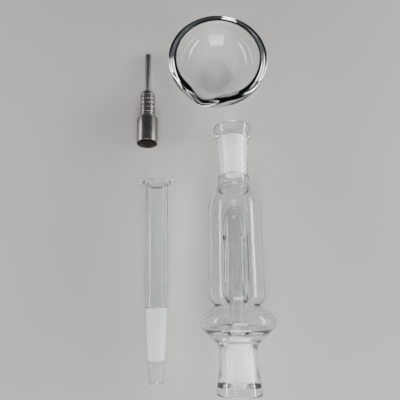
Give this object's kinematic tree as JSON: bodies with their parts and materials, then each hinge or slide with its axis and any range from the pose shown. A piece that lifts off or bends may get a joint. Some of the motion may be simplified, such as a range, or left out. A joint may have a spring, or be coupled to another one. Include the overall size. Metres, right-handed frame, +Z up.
{
  "type": "inline glass extractor set",
  "caption": "Dismantled inline glass extractor: body with chamber, percolator, bulb and ground sockets, plus a neck tube with ground cone, a stepped metal tip and a spouted glass dish.",
  "frame": {"origin": "on the bench, under the middle of the four pieces as they lie side by side", "axes": "+Z up from the bench, +Y along the extractor body towards its upper collar and the dish"},
  "size_m": [0.0992, 0.27, 0.0493],
  "materials": {
    "clear_glass": "fire-polished clear borosilicate glass",
    "ground_glass": "frosted by taper grinding",
    "dish_glass": "thick clear glass with a fire-polished rim",
    "titanium": "turned grey titanium"
  },
  "bodies": {
    "extractor": {"lower_collar": "clear_glass", "lower_socket": "ground_glass", "bulb_lower": "clear_glass", "bulb_upper": "clear_glass", "bulb_floor": "clear_glass", "riser_tube": "clear_glass", "percolator_bell": "clear_glass", "percolator_base": "clear_glass", "chamber_wall": "clear_glass", "chamber_shoulder": "clear_glass", "weld_ring": "clear_glass", "upper_socket": "ground_glass", "upper_collar": "clear_glass"},
    "tube": {"drip_tip": "clear_glass", "ground_cone": "ground_glass", "neck_tube": "clear_glass", "tube_lip": "clear_glass", "roll_stop_left": "clear_glass", "roll_stop_right": "clear_glass"},
    "metal_tip": {"tip_base": "titanium", "tip_coupling": "titanium", "tip_stem": "titanium"},
    "dish": {"dish_bowl": "dish_glass", "dish_rim": "dish_glass"}
  },
  "joints": [
    {"name": "tube_lift", "type": "slide", "parent": "extractor", "child": "tube", "axis": [0, 0, 1], "range_m": [0, 0.08]},
    {"name": "metal_tip_lift", "type": "slide", "parent": "extractor", "child": "metal_tip", "axis": [0, 0, 1], "range_m": [0, 0.08]},
    {"name": "dish_lift", "type": "slide", "parent": "extractor", "child": "dish", "axis": [0, 0, 1], "range_m": [0, 0.08]}
  ]
}
